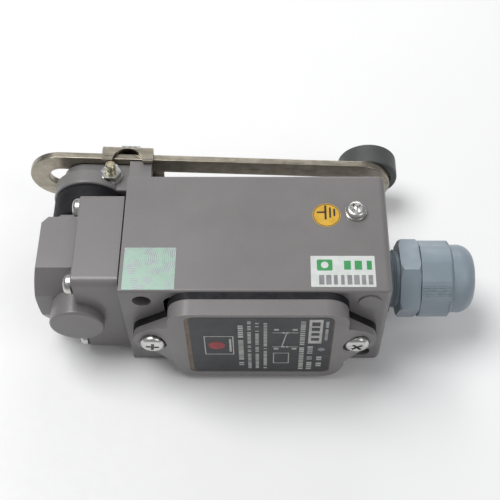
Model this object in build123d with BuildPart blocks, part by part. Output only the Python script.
from build123d import *
import math
import os

os.makedirs("parts", exist_ok=True)

# Heavy duty limit switch lying on its side. Millimetres.
# +X runs from the operating head to the cable gland, +Y from the cover to the lever, +Z up.
# The origin is the middle of the side of the housing that the switch lies on.

# ---- housing casting
length = 100.0
depth = 52.0
height = 55.0
mid_z = height / 2
front = -depth / 2
back = depth / 2
head_end = -length / 2
gland_end = length / 2
back_wall = 4.0
cavity_length = 68.0
cavity_height = 47.0
mount_hole_r = 3.5
mount_x = 42.0
mount_z = 20.5
boss_r = 4.0
boss_rise = 0.6

# ---- cover, its gasket and its plate
ear_x = (-39.4, 38.4)
ear_r = 7.5
gasket_t = 2.8
ear_t = 3.2
seat_t = 2.9
seat_r = 5.4
plateau_t = 6.5
plateau_x = 1.0
plateau_z = 29.0
plateau_length = 66.6
plateau_height = 51.0
plateau_corner_r = 8.5
flank_x = 29.5
flank_z = 15.7
flank_r = 1.0
ramp_in = 27.5
ramp_out = 42.0
recess_x = 1.4
recess_z = 30.0
recess_length = 54.8
recess_height = 45.4
plate_x = 2.0
plate_length = 52.8
plate_height = 44.4
plate_t = 0.5
plate_recess = 0.6
cover_screw_r = 2.4
cover_back = front - gasket_t
seat_face = cover_back - seat_t
ear_face = cover_back - ear_t
plateau_face = cover_back - plateau_t
cover_screw_points = [(x, mid_z) for x in ear_x]

# ---- operating head
head_gap = 0.8
head_left = -68.3
head_front = -21.8
head_back = 18.0
head_half_z = 26.1
nose_front = -16.6
nose_back = 15.0
nose_half_z = 21.4
nose_corner_x = -82.9
nose_tip_x = -85.4
nose_chamfer = 4.0
facet_half_z = 7.5
facet_y = 4.5
corner_cut_x = 10.4
corner_cut_y = 12.0
barrel_r = 10.6
barrel_front = -25.9
chamber_r = 12.5
chamber_front = -10.0
chamber_back = 6.0
head_mid_y = (head_front + head_back) / 2
head_screw_y = 17.0
head_screw_z = 20.9
head_screw_r = 1.95
head_seat_r = 4.3
head_screw_end = -46.2

# ---- shaft, bushes, cam and seal
shaft_x = -69.2
shaft_r = 5.0
shaft_front = -22.6
bush_r = 7.0
bush_clearance = 0.04
bush_length = 10.5
cam_y = -2.0
cam_t = 6.0
cam_r = 8.5
cam_rise = 1.9
cam_sweep = 80.0
boot_r = 14.6
boot_back = 31.6

# ---- plunger and contacts
plunger_r = 2.5
tip_gap = 0.3
carrier_length = 24.0
collar_x = -57.6
spring_wire_r = 0.4
channel_half_z = 12.0
bridge_x = (-27.0, -15.0)
fixed_contact_x = (-23.0, -18.6)

# ---- lever: everything on it is laid out along a line that dips towards the gland
lever_dip = 3.0
hub_front = 32.0
hub_back = 44.9
collar_back = 38.2
collar_r = 15.1
ear_half = 10.0
block_from = 16.3
block_to = 25.2
block_half = 13.0
clamp_u = 8.9
clamp_y = 38.8
clamp_r = 2.0
saddle_from = 4.7
saddle_to = 25.7
saddle_half = 15.5
tongue_to = 29.6
tongue_half = 9.0
wing_front = 43.4
saddle_t = 2.2
notch_r = 6.2
bolt_u = 15.2
bolt_r = 3.9

# ---- arm and roller
arm_front = 45.2
arm_t = 3.0
arm_half = 13.6
arm_left_u = -13.0
arm_right_u = 112.4
slot_r = 5.6
slot_right_u = 98.0
roller_u = 117.0
roller_r = 12.5
roller_width = 9.6
roller_gap = 0.6
pin_r = 3.0
pin_clearance = 0.05

# ---- cable gland
gland_y = -4.2
thread_r = 11.2
thread_crest = 0.35
thread_pitch = 1.5
thread_in = 38.0
hex_from = 55.5
hex_to = 63.2
hex_flat = 28.0
hex_turn = 48.0
cap_to = 76.0
dome_to = 85.0
cap_r = 15.0
dome_r = 13.4
cap_flat = 29.0
cap_turn = 20.0
gland_bore_r = 8.0
cable_r = 5.0
seal_r = 7.3

# ---- earth terminal on the upper side
earth_x = 37.9
earth_y = 8.6


def upright(y):
    """The plane across Y at y. Its local axes are X and Z, and it extrudes towards the cover."""
    return Plane.XZ.offset(-y)


def across(x):
    """The plane across X at x. Its local axes are Y and Z, and it extrudes towards the gland."""
    return Plane.YZ.offset(x)


dip = math.radians(lever_dip)
lever_x = Vector(math.cos(dip), 0, -math.sin(dip))
shaft_axis = Vector(shaft_x, 0, mid_z)


def lever_plane(y):
    """The plane across the shaft at y, with its local X along the lever's arm."""
    return Plane(origin=(shaft_x, y, mid_z), x_dir=lever_x, z_dir=(0, -1, 0))


def pan_screw(head_r, head_h, shank_r, shank_l, slot):
    """A pan head screw standing on its seat, head up, with a cross recess in its flat top."""
    with BuildPart() as one:
        with BuildSketch():
            Circle(head_r)
        extrude(amount=head_h)
        crown_r = 0.6 * head_h
        fillet(one.edges().sort_by(Axis.Z)[-1], radius=crown_r)
        with BuildSketch():
            Circle(shank_r)
        extrude(amount=-shank_l)
        with BuildSketch(Plane.XY.offset(head_h)):
            arm = 1.7 * (head_r - crown_r)
            Rectangle(arm, slot)
            Rectangle(slot, arm)
        extrude(amount=-0.55 * head_h, mode=Mode.SUBTRACT)
    return one.part


def finish(part, label):
    part.label = label
    export_step(part, f"parts/{label}.step")


def cover_outline(grow=0.0):
    """Two rounded ears whose straight flanks run into the sides of a rounded rectangle."""
    with Locations(*cover_screw_points):
        Circle(ear_r + grow)
    with Locations((plateau_x, mid_z)):
        with GridLocations(2 * flank_x, 2 * flank_z, 2, 2):
            Circle(flank_r + grow)
    make_hull()
    with Locations((plateau_x, plateau_z)):
        RectangleRounded(plateau_length + 2 * grow, plateau_height + 2 * grow, plateau_corner_r + grow)


# ---- housing: one deep casting, open at the cover side, with a thick block at each end
mount_points = [(-mount_x, mid_z + mount_z), (mount_x, mid_z - mount_z)]
closed_points = [(mount_x, mid_z + mount_z), (-mount_x, mid_z - mount_z)]
head_screw_points = [
    (head_mid_y + sy * head_screw_y, mid_z + sz * head_screw_z) for sy in (-1, 1) for sz in (-1, 1)
]
block_screw_points = [(-27.5, mid_z - 14.0), (15.3, mid_z + 14.0)]
with BuildPart() as housing:
    with BuildSketch():
        Rectangle(length, depth)
    extrude(amount=height)
    gland_edges = housing.faces().sort_by(Axis.X)[-1].edges()
    fillet(gland_edges, radius=2.6)
    fillet(housing.edges().filter_by(Axis.X), radius=1.0)
    with BuildSketch(upright(front)):
        with Locations((0, mid_z)):
            RectangleRounded(cavity_length, cavity_height, 4)
    extrude(amount=-(depth - back_wall), mode=Mode.SUBTRACT)
    with BuildSketch(upright(front)):
        with Locations(*mount_points):
            Circle(mount_hole_r)
    extrude(amount=-depth, mode=Mode.SUBTRACT)
    with BuildSketch(upright(front)):
        with Locations(*closed_points):
            Circle(boss_r)
    extrude(amount=boss_rise)
    with BuildSketch(upright(front)):
        with Locations(*cover_screw_points):
            Circle(cover_screw_r)
    extrude(amount=-8.5, mode=Mode.SUBTRACT)
    with BuildSketch(upright(back - back_wall)):
        with Locations(*block_screw_points):
            Circle(1.6)
    extrude(amount=-2.8, mode=Mode.SUBTRACT)
    with BuildSketch(across(gland_end)):
        with Locations((gland_y, mid_z)):
            Circle(thread_r + thread_crest + 0.02)
    extrude(amount=-(gland_end - cavity_length / 2), mode=Mode.SUBTRACT)
    with BuildSketch(across(head_end)):
        with Locations((cam_y, mid_z)):
            Circle(plunger_r + 0.05)
    extrude(amount=length / 2 - cavity_length / 2, mode=Mode.SUBTRACT)
    with BuildSketch(across(head_end)):
        with Locations(*head_screw_points):
            Circle(head_screw_r)
    extrude(amount=head_screw_end - head_end, mode=Mode.SUBTRACT)
    with BuildSketch(Plane.XY.offset(height)):
        with Locations((earth_x, earth_y)):
            Circle(1.9)
    extrude(amount=-7.0, mode=Mode.SUBTRACT)
finish(housing.part, "housing")

# ---- cover gasket: a black rubber sheet cut to the cover's outline
with BuildPart() as cover_gasket:
    with BuildSketch(upright(front)):
        cover_outline(0.2)
        with Locations((0, mid_z)):
            RectangleRounded(cavity_length - 6, cavity_height - 10, 4, mode=Mode.SUBTRACT)
        with Locations(*cover_screw_points):
            Circle(cover_screw_r + 0.3, mode=Mode.SUBTRACT)
    extrude(amount=gasket_t)
finish(cover_gasket.part, "cover_gasket")

# ---- cover: a raised rectangle that holds the plate, and a ramp down to the screw ear at each end
with BuildPart() as cover:
    with BuildSketch(upright(cover_back)):
        cover_outline()
    extrude(amount=plateau_t)
    with BuildSketch(Plane.XY):
        with BuildLine():
            head_ramp = [(plateau_x - ramp_out, ear_face), (plateau_x - ramp_in, plateau_face)]
            gland_ramp = [(plateau_x + ramp_in, plateau_face), (plateau_x + ramp_out, ear_face)]
            Spline(*head_ramp, tangents=[(1, 0), (1, 0)])
            Line(head_ramp[1], gland_ramp[0])
            Spline(*gland_ramp, tangents=[(1, 0), (1, 0)])
            Polyline(gland_ramp[1], (gland_end, ear_face), (gland_end, cover_back))
            Polyline((gland_end, cover_back), (head_end, cover_back), (head_end, ear_face), head_ramp[0])
        make_face()
    extrude(amount=height, mode=Mode.INTERSECT)
    with BuildSketch(upright(plateau_face)):
        with Locations((recess_x, recess_z)):
            RectangleRounded(recess_length, recess_height, 3)
    extrude(amount=-plate_recess, mode=Mode.SUBTRACT)
    with BuildSketch(upright(cover_back)):
        with Locations((plateau_x, plateau_z)):
            RectangleRounded(2 * ramp_in - 2, plateau_height - 7, 4)
    extrude(amount=plateau_t - 2.6, mode=Mode.SUBTRACT)
    with BuildSketch(upright(cover_back)):
        with Locations(*cover_screw_points):
            Circle(cover_screw_r + 0.2)
    extrude(amount=seat_t, mode=Mode.SUBTRACT)
    with BuildSketch(upright(seat_face)):
        with Locations(*cover_screw_points):
            Circle(seat_r)
    extrude(amount=plateau_t, mode=Mode.SUBTRACT)
finish(cover.part, "cover")

# ---- nameplate: a thin plate lying in the cover's recess
with BuildPart() as nameplate:
    with BuildSketch(upright(plateau_face + plate_recess)):
        with Locations((plate_x, recess_z)):
            RectangleRounded(plate_length, plate_height, 2.8)
    extrude(amount=plate_t)
finish(nameplate.part, "nameplate")

cover_screw = pan_screw(4.7, 2.9, cover_screw_r - 0.05, seat_t + gasket_t + 7.5, 1.2)
with BuildPart() as cover_screws:
    for x, z in cover_screw_points:
        turn = (math.cos(x), 0, math.sin(x))
        with Locations(Plane(origin=(x, seat_face, z), x_dir=turn, z_dir=(0, -1, 0))):
            add(cover_screw)
finish(cover_screws.part, "cover_screws")

# ---- operating head: a bolted block, a bevelled nose over the cam and a barrel along the shaft
shaft_point = (shaft_x, mid_z)
top = mid_z + nose_half_z
low = mid_z - nose_half_z
with BuildPart() as nose:
    with BuildSketch(upright(nose_back)):
        with BuildLine():
            Polyline((nose_corner_x, low), (head_left + 2, low), (head_left + 2, top), (nose_corner_x, top))
            ThreePointArc((nose_corner_x, top), (nose_tip_x, mid_z), (nose_corner_x, low))
        make_face()
    extrude(amount=nose_back - nose_front)
    with BuildSketch(across(nose_tip_x - 1)):
        with BuildLine():
            section = [(nose_front, mid_z + facet_half_z), (nose_front + facet_y, top)]
            section += [(nose_back - nose_chamfer, top), (nose_back, top - nose_chamfer)]
            section += [(y, 2 * mid_z - z) for y, z in reversed(section)]
            Polyline(*section, close=True)
        make_face()
    extrude(amount=head_left + 3 - nose_tip_x, mode=Mode.INTERSECT)
    with BuildSketch(Plane.XY):
        with BuildLine():
            cut_corner = (nose_tip_x - 1, nose_back + 1)
            cut_front = (cut_corner[0], cut_corner[1] - corner_cut_y)
            cut_back = (cut_corner[0] + corner_cut_x, cut_corner[1])
            Polyline(cut_corner, cut_front, cut_back, close=True)
        make_face()
    extrude(amount=height, mode=Mode.SUBTRACT)

with BuildPart() as head:
    with BuildSketch(across(head_left)):
        with Locations((head_mid_y, mid_z)):
            Rectangle(head_back - head_front, 2 * head_half_z)
    extrude(amount=head_end - head_gap - head_left)
    fillet(head.edges().filter_by(Axis.X).group_by(Axis.Y)[0], radius=3.0)
    fillet(head.edges().filter_by(Axis.X).group_by(Axis.Y)[-1], radius=1.6)
    fillet(head.faces().sort_by(Axis.X)[0].edges(), radius=0.7)
    add(nose.part)
    with BuildSketch(across(head_left)):
        with Locations(*head_screw_points):
            Circle(head_seat_r)
    extrude(amount=nose_tip_x - head_left, mode=Mode.SUBTRACT)
    with BuildSketch(upright(head_back)):
        with Locations(shaft_point):
            Circle(barrel_r)
    extrude(amount=head_back - barrel_front)
    fillet(head.faces().sort_by(Axis.Y)[0].edges(), radius=1.0)
    with BuildSketch(upright(chamber_back)):
        with Locations(shaft_point):
            Circle(chamber_r)
        with Locations(((shaft_x + head_end) / 2, mid_z)):
            Rectangle(head_end - shaft_x, 2 * chamber_r)
    extrude(amount=chamber_back - chamber_front, mode=Mode.SUBTRACT)
    with BuildSketch(upright(head_back)):
        with Locations(shaft_point):
            Circle(bush_r)
    extrude(amount=head_back - shaft_front + 0.2, mode=Mode.SUBTRACT)
    with BuildSketch(across(head_left)):
        with Locations(*head_screw_points):
            Circle(head_screw_r + 0.2)
    extrude(amount=head_end - head_left, mode=Mode.SUBTRACT)
finish(head.part, "head")

with BuildPart() as head_gasket:
    with BuildSketch(across(head_end - head_gap)):
        with Locations((head_mid_y, mid_z)):
            RectangleRounded(head_back - head_front - 0.6, 2 * head_half_z - 0.6, 1.5)
            Rectangle(18, 22, mode=Mode.SUBTRACT)
        with Locations(*head_screw_points):
            Circle(head_screw_r + 0.2, mode=Mode.SUBTRACT)
    extrude(amount=head_gap)
finish(head_gasket.part, "head_gasket")

head_screw = pan_screw(3.9, 3.1, head_screw_r - 0.05, head_screw_end - head_left - 0.3, 1.1)
with BuildPart() as head_screws:
    for y, z in head_screw_points:
        turn = (0, math.cos(y + z), math.sin(y + z))
        with Locations(Plane(origin=(head_left, y, z), x_dir=turn, z_dir=(-1, 0, 0))):
            add(head_screw)
finish(head_screws.part, "head_screws")

# ---- bushes, pressed into the barrel at each side of the cam chamber
for label, start in (("front_bush", chamber_front - 0.3), ("rear_bush", chamber_back + bush_length + 0.3)):
    with BuildPart() as bush:
        with BuildSketch(upright(start)):
            with Locations(shaft_point):
                Circle(bush_r - 0.01)
                Circle(shaft_r + bush_clearance, mode=Mode.SUBTRACT)
        extrude(amount=bush_length)
    finish(bush.part, label)

# ---- rubber boot round the shaft, between the head and the lever
with BuildPart() as shaft_boot:
    with BuildSketch(upright(boot_back)):
        with Locations(shaft_point):
            Circle(boot_r)
    extrude(amount=boot_back - head_back)
    fillet(shaft_boot.edges(), radius=1.2)
    with BuildSketch(upright(boot_back)):
        with Locations(shaft_point):
            Circle(shaft_r + 0.4)
    extrude(amount=boot_back - head_back, mode=Mode.SUBTRACT)
finish(shaft_boot.part, "shaft_boot")

# ---- shaft and cam. The cam's radius grows with angle, so the plunger moves in step with the lever
with BuildPart() as shaft:
    with BuildSketch(upright(hub_back - 0.1)):
        with Locations(shaft_point):
            Circle(shaft_r)
    extrude(amount=hub_back - 0.1 - shaft_front)
    chamfer(shaft.edges().filter_by(GeomType.CIRCLE), length=0.5)
finish(shaft.part, "shaft")


def cam_radius(degrees):
    return cam_r - tip_gap + cam_rise * math.radians(degrees)


with BuildPart() as cam:
    with BuildSketch(upright(cam_y + cam_t / 2)):
        with BuildLine():
            rise = [
                (
                    shaft_x + cam_radius(a) * math.cos(math.radians(a)),
                    mid_z + cam_radius(a) * math.sin(math.radians(a)),
                )
                for a in range(-int(cam_sweep), int(cam_sweep) + 1, 20)
            ]
            curve = Spline(*rise)
            ThreePointArc(curve @ 1, (shaft_x - cam_r - 0.6, mid_z), curve @ 0)
        make_face()
        with Locations(shaft_point):
            Circle(shaft_r + 0.005, mode=Mode.SUBTRACT)
    extrude(amount=cam_t)
finish(cam.part, "cam")

# ---- plunger: a rod with a round tip on the cam, a spring collar and the contact carrier on its end
tip_x_centre = shaft_x + cam_r + plunger_r
carrier_from = -33.0
with BuildPart() as plunger:
    with BuildSketch(Plane(origin=(0, cam_y, mid_z), x_dir=(1, 0, 0), z_dir=(0, -1, 0))):
        with BuildLine():
            Line((tip_x_centre - plunger_r, 0), (carrier_from + 6, 0))
            Polyline((carrier_from + 6, 0), (carrier_from + 6, plunger_r), (collar_x + 1.2, plunger_r))
            Polyline((collar_x + 1.2, plunger_r), (collar_x + 1.2, 5.2), (collar_x, 5.2))
            Polyline((collar_x, 5.2), (collar_x, plunger_r), (tip_x_centre, plunger_r))
            RadiusArc((tip_x_centre, plunger_r), (tip_x_centre - plunger_r, 0), -plunger_r)
        make_face()
    revolve(axis=Axis((0, cam_y, mid_z), (1, 0, 0)))
finish(plunger.part, "plunger")

with BuildPart() as contact_carrier:
    with BuildSketch(across(carrier_from + 2)):
        with Locations((cam_y, mid_z)):
            RectangleRounded(9, 11, 1)
    extrude(amount=carrier_length)
    with BuildSketch(across(carrier_from)):
        with Locations((cam_y, mid_z)):
            Circle(plunger_r + 0.01)
    extrude(amount=6.05, mode=Mode.SUBTRACT)
    for x in bridge_x:
        with BuildSketch(across(x)):
            with Locations((cam_y, mid_z)):
                Rectangle(5, 12)
        extrude(amount=1.2, mode=Mode.SUBTRACT)
finish(contact_carrier.part, "contact_carrier")

with BuildPart() as moving_contacts:
    for x in bridge_x:
        with BuildSketch(across(x)):
            with Locations((cam_y, mid_z)):
                RectangleRounded(4.8, 2 * channel_half_z - 3, 1)
        extrude(amount=1.2)
finish(moving_contacts.part, "moving_contacts")

# ---- contact block: a moulding with a channel for the carrier and a terminal at each corner
block_front = -10.0
terminal_points = [(x, mid_z + z) for x in (-5.0, 8.0) for z in (-9.0, 9.0)]
with BuildPart() as contact_block:
    with BuildSketch(upright(back - back_wall - 0.02)):
        with Locations((-6.5, mid_z)):
            RectangleRounded(51, 35, 2)
    extrude(amount=back - back_wall - 0.02 - block_front)
    with BuildSketch(upright(block_front)):
        with Locations((-21.5, mid_z)):
            Rectangle(22.5, 2 * channel_half_z)
    extrude(amount=-14, mode=Mode.SUBTRACT)
    with BuildSketch(upright(block_front)):
        with Locations(*block_screw_points):
            Circle(1.75)
    extrude(amount=-40, mode=Mode.SUBTRACT)
    with BuildSketch(upright(block_front)):
        with Locations(*terminal_points):
            Rectangle(9, 8)
    extrude(amount=-3, mode=Mode.SUBTRACT)
    with BuildSketch(upright(block_front)):
        with Locations(*terminal_points):
            Circle(1.6)
    extrude(amount=-9, mode=Mode.SUBTRACT)
    with BuildSketch(across(-32.1)):
        with Locations((cam_y, mid_z)):
            RectangleRounded(10.4, 12.4, 1)
    extrude(amount=4, mode=Mode.SUBTRACT)
    with BuildSketch(across(-14)):
        with Locations((cam_y, mid_z)):
            RectangleRounded(10.4, 12.4, 1)
    extrude(amount=10, mode=Mode.SUBTRACT)
finish(contact_block.part, "contact_block")

with BuildPart() as fixed_contacts:
    for x in fixed_contact_x:
        for side in (-1, 1):
            with BuildSketch(across(x)):
                with Locations((cam_y, mid_z + side * (channel_half_z - 2.6))):
                    Rectangle(4.6, 5.1)
            extrude(amount=0.8)
finish(fixed_contacts.part, "fixed_contacts")

with BuildPart() as terminal_plates:
    with BuildSketch(upright(block_front + 3)):
        with Locations(*terminal_points):
            Rectangle(8.4, 7.4)
            Circle(1.65, mode=Mode.SUBTRACT)
    extrude(amount=1.0)
finish(terminal_plates.part, "terminal_plates")

terminal_screw = pan_screw(3.0, 2.0, 1.55, 6.5, 0.9)
with BuildPart() as terminal_screws:
    for x, z in terminal_points:
        with Locations(Plane(origin=(x, block_front + 2, z), x_dir=(1, 0, 0), z_dir=(0, -1, 0))):
            add(terminal_screw)
finish(terminal_screws.part, "terminal_screws")

block_screw = pan_screw(3.2, 2.2, 1.55, back - back_wall - block_front + 2.5, 1.0)
with BuildPart() as block_screws:
    for x, z in block_screw_points:
        with Locations(Plane(origin=(x, block_front, z), x_dir=(1, 0, 0), z_dir=(0, -1, 0))):
            add(block_screw)
finish(block_screws.part, "block_screws")

# ---- springs: one pushes the plunger back on to the cam, one turns the shaft back to its middle
spring_from = collar_x + 1.2 + spring_wire_r + 0.05
spring_to = head_end - spring_wire_r - 0.05
with BuildPart() as plunger_spring:
    coil_r = plunger_r + 1.2
    with BuildLine():
        coil = Helix(
            pitch=(spring_to - spring_from) / 4,
            height=spring_to - spring_from,
            radius=coil_r,
            center=(spring_from, cam_y, mid_z),
            direction=(1, 0, 0),
        )
    with BuildSketch(Plane(origin=coil @ 0, z_dir=coil % 0)):
        Circle(spring_wire_r)
    sweep(path=coil, is_frenet=True)
finish(plunger_spring.part, "plunger_spring")

with BuildPart() as return_spring:
    wire_r = 0.55
    with BuildLine():
        coil = Helix(
            pitch=1.3,
            height=3.3,
            radius=shaft_r + 2.2,
            center=(shaft_x, cam_y + cam_t / 2 + wire_r + 0.4, mid_z),
            direction=(0, 1, 0),
        )
    with BuildSketch(Plane(origin=coil @ 0, z_dir=coil % 0)):
        Circle(wire_r)
    sweep(path=coil, is_frenet=True)
finish(return_spring.part, "return_spring")

# ---- lever hub: a collar on the shaft, a flat ear for the clamp screw and a taller block for the saddle
with BuildPart() as lever_hub:
    with BuildSketch(lever_plane(hub_back)):
        SlotCenterToCenter(4, 2 * ear_half)
        with Locations(((block_to + 2) / 2, 0)):
            Rectangle(block_to - 2, 2 * ear_half)
        with Locations(((block_from + block_to) / 2, 0)):
            Rectangle(block_to - block_from, 2 * block_half)
    extrude(amount=hub_back - hub_front)
    with BuildSketch(lever_plane(collar_back)):
        Circle(collar_r)
    extrude(amount=collar_back - hub_front)
    fillet(lever_hub.faces().sort_by(Axis.Y)[0].edges(), radius=0.8)
    with BuildSketch(lever_plane(hub_back)):
        Circle(shaft_r + 0.005)
        with Locations((bolt_u, 0)):
            Circle(bolt_r + 0.1)
        with Locations((block_to / 2 + 2, 0)):
            Rectangle(block_to + 4, 1.2)
    extrude(amount=hub_back - hub_front, mode=Mode.SUBTRACT)
    with BuildSketch(lever_plane(hub_front)):
        with Locations((bolt_u, 0)):
            RegularPolygon(7.3, 6, major_radius=False)
    extrude(amount=-4.2, mode=Mode.SUBTRACT)
    clamp_foot = shaft_axis + lever_x * clamp_u + Vector(0, clamp_y, 0)
    lever_up = Vector(math.sin(dip), 0, math.cos(dip))
    with BuildSketch(Plane(origin=clamp_foot, x_dir=(0, 1, 0), z_dir=lever_up)):
        Circle(clamp_r + 0.1)
    extrude(amount=ear_half + 6, both=True, mode=Mode.SUBTRACT)
    for side in (-1, 1):
        seat_foot = clamp_foot + lever_up * (side * ear_half)
        with BuildSketch(Plane(origin=seat_foot, x_dir=(0, 1, 0), z_dir=lever_up * side)):
            Circle(4.7)
        extrude(amount=4, mode=Mode.SUBTRACT)
finish(lever_hub.part, "lever_hub")

# ---- clamp screw through the ear, with its nut and washer on the upper side
clamp_top = Plane(origin=clamp_foot + lever_up * ear_half, x_dir=lever_x, z_dir=lever_up)
clamp_low = Plane(origin=clamp_foot - lever_up * ear_half, x_dir=lever_x, z_dir=-lever_up)
with BuildPart() as clamp_screw:
    with BuildSketch(clamp_low):
        RegularPolygon(3.9, 6, major_radius=False)
    extrude(amount=3.0)
    with BuildSketch(clamp_low):
        Circle(clamp_r)
    extrude(amount=-(2 * ear_half + 8.6))
    chamfer(clamp_screw.faces().sort_by(Axis.Z)[-1].edges(), length=0.5)
finish(clamp_screw.part, "clamp_screw")

with BuildPart() as clamp_nut:
    with BuildSketch(clamp_top):
        Circle(4.4)
        Circle(clamp_r + 0.01, mode=Mode.SUBTRACT)
    extrude(amount=0.8)
    with BuildSketch(clamp_top.offset(0.8)):
        RegularPolygon(3.6, 6, major_radius=False)
        Circle(clamp_r + 0.01, mode=Mode.SUBTRACT)
    extrude(amount=3.2)
finish(clamp_nut.part, "clamp_nut")

# ---- saddle: a plated channel that wraps the arm from behind, with a round notch in each wing
arm_back = arm_front + arm_t
saddle_front = arm_back + 0.3
saddle_mid = (saddle_from + saddle_to) / 2
wing_in = arm_half + 0.35
with BuildPart() as saddle:
    with BuildSketch(lever_plane(saddle_front + saddle_t)):
        with Locations((saddle_mid, 0)):
            Rectangle(saddle_to - saddle_from, 2 * saddle_half)
    extrude(amount=saddle_front + saddle_t - wing_front)
    with BuildSketch(lever_plane(saddle_front)):
        with Locations((saddle_mid, 0)):
            Rectangle(saddle_to - saddle_from + 2, 2 * wing_in)
    extrude(amount=saddle_front - wing_front + 1, mode=Mode.SUBTRACT)
    outer = saddle.faces().sort_by(Axis.Y)[-1].edges()
    fillet(outer, radius=1.2)
    with BuildSketch(lever_plane(saddle_front + saddle_t)):
        with Locations(((saddle_mid + tongue_to) / 2, 0)):
            RectangleRounded(tongue_to - saddle_mid, 2 * tongue_half, 2)
    extrude(amount=saddle_t)
    notch_foot = shaft_axis + lever_x * saddle_mid + Vector(0, wing_front, 0)
    with BuildSketch(Plane(origin=notch_foot, x_dir=lever_x, z_dir=lever_up)):
        Circle(notch_r)
    extrude(amount=saddle_half + 4, both=True, mode=Mode.SUBTRACT)
    with BuildSketch(lever_plane(saddle_front)):
        with Locations((bolt_u, 0)):
            Circle(bolt_r + 0.02)
    extrude(amount=-saddle_t, mode=Mode.SUBTRACT)
finish(saddle.part, "saddle")

# ---- bolt that draws the saddle and the arm on to the hub, with its nut behind
with BuildPart() as saddle_bolt:
    with BuildSketch(lever_plane(hub_front + 4.2)):
        with Locations((bolt_u, 0)):
            RegularPolygon(6.5, 6, major_radius=False)
    extrude(amount=3.6)
    with BuildSketch(lever_plane(hub_front + 4.2)):
        with Locations((bolt_u, 0)):
            Circle(bolt_r)
    extrude(amount=-(saddle_front + saddle_t + 9.0 - hub_front - 4.2))
    chamfer(saddle_bolt.faces().sort_by(Axis.Y)[-1].edges(), length=0.7)
finish(saddle_bolt.part, "saddle_bolt")

with BuildPart() as saddle_nut:
    with BuildSketch(lever_plane(saddle_front + saddle_t + 1.2)):
        with Locations((bolt_u, 0)):
            Circle(8.0)
            Circle(bolt_r + 0.01, mode=Mode.SUBTRACT)
    extrude(amount=1.2)
    with BuildSketch(lever_plane(saddle_front + saddle_t + 1.2)):
        with Locations((bolt_u, 0)):
            RegularPolygon(6.5, 6, major_radius=False)
            Circle(bolt_r + 0.01, mode=Mode.SUBTRACT)
    extrude(amount=-6.0)
finish(saddle_nut.part, "saddle_nut")

# ---- arm: a long plated strip with rounded ends and one long slot
with BuildPart() as lever_arm:
    with BuildSketch(lever_plane(arm_back)):
        with Locations(((arm_left_u + arm_right_u) / 2, 0)):
            SlotCenterToCenter(arm_right_u - arm_left_u, 2 * arm_half)
        with Locations(((arm_left_u + slot_right_u) / 2, 0)):
            SlotCenterToCenter(slot_right_u - arm_left_u, 2 * slot_r, mode=Mode.SUBTRACT)
        with Locations((roller_u, 0)):
            Circle(pin_r + 0.005, mode=Mode.SUBTRACT)
    extrude(amount=arm_t)
    fillet(lever_arm.faces().sort_by(Axis.Y)[0].edges(), radius=0.4)
    fillet(lever_arm.faces().sort_by(Axis.Y)[-1].edges(), radius=0.4)
finish(lever_arm.part, "lever_arm")

roller_front = arm_back + roller_gap
roller_end = roller_front + roller_width
with BuildPart() as roller_pin:
    with BuildSketch(lever_plane(arm_front)):
        with Locations((roller_u, 0)):
            Circle(4.6)
    extrude(amount=1.3)
    fillet(roller_pin.faces().sort_by(Axis.Y)[0].edges(), radius=0.8)
    with BuildSketch(lever_plane(arm_front)):
        with Locations((roller_u, 0)):
            Circle(pin_r)
    extrude(amount=-(roller_end + 1.8 - arm_front))
    with BuildSketch(lever_plane(roller_end + 0.35)):
        with Locations((roller_u, 0)):
            Circle(5.0)
    extrude(amount=-1.5)
    fillet(roller_pin.faces().sort_by(Axis.Y)[-1].edges(), radius=0.7)
finish(roller_pin.part, "roller_pin")

with BuildPart() as roller:
    with BuildSketch(lever_plane(roller_end)):
        with Locations((roller_u, 0)):
            Circle(roller_r)
    extrude(amount=roller_width)
    fillet(roller.edges(), radius=0.9)
    for face_y, inward in ((roller_front, -1.2), (roller_end, 1.2)):
        with BuildSketch(lever_plane(face_y)):
            with Locations((roller_u, 0)):
                Circle(roller_r - 2.6)
                Circle(5.6, mode=Mode.SUBTRACT)
        extrude(amount=inward, mode=Mode.SUBTRACT)
    with BuildSketch(lever_plane(roller_end)):
        with Locations((roller_u, 0)):
            Circle(pin_r + pin_clearance)
    extrude(amount=roller_width, mode=Mode.SUBTRACT)
finish(roller.part, "roller")

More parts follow.
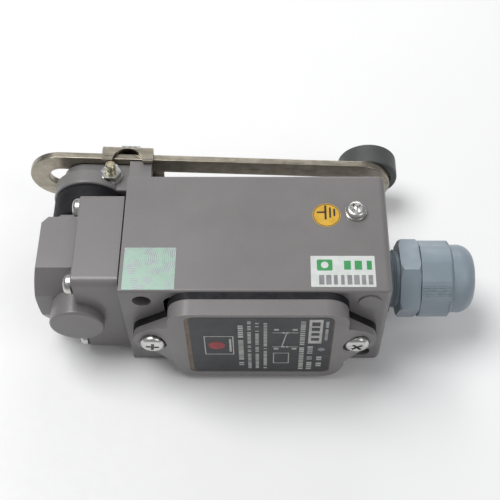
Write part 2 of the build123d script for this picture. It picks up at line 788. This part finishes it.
# ---- cable gland: threaded body with a hexagon, domed cap and rubber seal
gland_axis = Axis((0, gland_y, mid_z), (1, 0, 0))
gland_profile = Plane(origin=(0, gland_y, mid_z), x_dir=(1, 0, 0), z_dir=(0, -1, 0))
thread_turns = int((hex_from - thread_in) / thread_pitch)
neck_r = 11.4
neck_to = cap_to - 3.0
with BuildPart() as gland_body:
    with BuildSketch(gland_profile):
        with BuildLine():
            crests = [(thread_in, gland_bore_r), (thread_in, thread_r - thread_crest)]
            for n in range(thread_turns):
                x = thread_in + n * thread_pitch
                crests += [(x + 0.5 * thread_pitch, thread_r + thread_crest)]
                crests += [(x + thread_pitch, thread_r - thread_crest)]
            crests += [(hex_from, thread_r - thread_crest), (hex_from, neck_r + 1.5)]
            crests += [(hex_to, neck_r + 1.5), (hex_to, neck_r), (neck_to, neck_r), (neck_to, gland_bore_r)]
            Polyline(*crests, close=True)
        make_face()
    revolve(axis=gland_axis)
    with BuildSketch(across(hex_from)):
        with Locations((gland_y, mid_z)):
            RegularPolygon(hex_flat / 2, 6, major_radius=False, rotation=hex_turn)
            Circle(gland_bore_r, mode=Mode.SUBTRACT)
    extrude(amount=hex_to - hex_from)
    with BuildSketch(gland_profile):
        with BuildLine():
            over = hex_flat / 2 / math.cos(math.pi / 6)
            bevel = 1.3
            outline = [(thread_in - 1, 0), (thread_in - 1, over), (hex_from, over - bevel)]
            outline += [(hex_from + bevel, over + 0.3), (hex_to - bevel, over + 0.3), (hex_to, over - bevel)]
            outline += [(dome_to, over - bevel), (dome_to, 0)]
            Polyline(*outline, close=True)
        make_face()
    revolve(axis=gland_axis, mode=Mode.INTERSECT)
finish(gland_body.part, "gland_body")

with BuildPart() as gland_washer:
    with BuildSketch(across(gland_end)):
        with Locations((gland_y, mid_z)):
            Circle(13.6)
            Circle(thread_r + thread_crest + 0.02, mode=Mode.SUBTRACT)
    extrude(amount=1.8)
finish(gland_washer.part, "gland_washer")

with BuildPart() as gland_cap:
    cap_from = hex_to + 0.3
    with BuildSketch(gland_profile):
        with BuildLine():
            Polyline((cap_from, neck_r + 0.05), (cap_from, cap_r), (cap_to - 1.2, cap_r), (cap_to, dome_r))
            Line((cap_to, dome_r), (cap_to + 3, dome_r))
            ThreePointArc((cap_to + 3, dome_r), (dome_to - 1.5, 11.2), (dome_to, seal_r + 0.3))
            Polyline((dome_to, seal_r + 0.3), (neck_to + 4, seal_r + 0.3), (neck_to + 1, neck_r + 0.05))
            Line((neck_to + 1, neck_r + 0.05), (cap_from, neck_r + 0.05))
        make_face()
    revolve(axis=gland_axis)
    with BuildSketch(across(cap_from)):
        with Locations((gland_y, mid_z)):
            Circle(cap_r + 2)
            RegularPolygon(cap_flat / 2, 6, major_radius=False, rotation=cap_turn, mode=Mode.SUBTRACT)
    extrude(amount=cap_to - 1.2 - cap_from, mode=Mode.SUBTRACT)
    for corner in range(0, 6, 2):
        for rib in range(-3, 4):
            angle = math.radians(60 * corner + cap_turn + 2.4 * rib)
            groove = Plane(
                origin=(cap_from, gland_y + cap_r * math.cos(angle), mid_z + cap_r * math.sin(angle)),
                x_dir=(0, math.cos(angle), math.sin(angle)),
                z_dir=(1, 0, 0),
            )
            with BuildSketch(groove):
                Rectangle(0.5, 0.25)
            extrude(amount=cap_to - 1.2 - cap_from, mode=Mode.SUBTRACT)
finish(gland_cap.part, "gland_cap")

with BuildPart() as gland_seal:
    with BuildSketch(across(hex_to + 2)):
        with Locations((gland_y, mid_z)):
            Circle(seal_r)
            Circle(cable_r, mode=Mode.SUBTRACT)
    extrude(amount=dome_to - 0.8 - hex_to - 2)
finish(gland_seal.part, "gland_seal")

# ---- earth terminal: a pan head screw and a spring washer on the upper side
with BuildPart() as earth_washer:
    with BuildSketch(Plane.XY.offset(height)):
        with Locations((earth_x, earth_y)):
            Circle(4.1)
            Circle(1.95, mode=Mode.SUBTRACT)
    extrude(amount=0.8)
finish(earth_washer.part, "earth_washer")

screw_and_thread = pan_screw(3.8, 2.3, 1.85, 7.0, 1.0)
with BuildPart() as earth_screw:
    with Locations(Plane(origin=(earth_x, earth_y, height + 0.8), x_dir=(0.8, 0.6, 0), z_dir=(0, 0, 1))):
        add(screw_and_thread)
finish(earth_screw.part, "earth_screw")
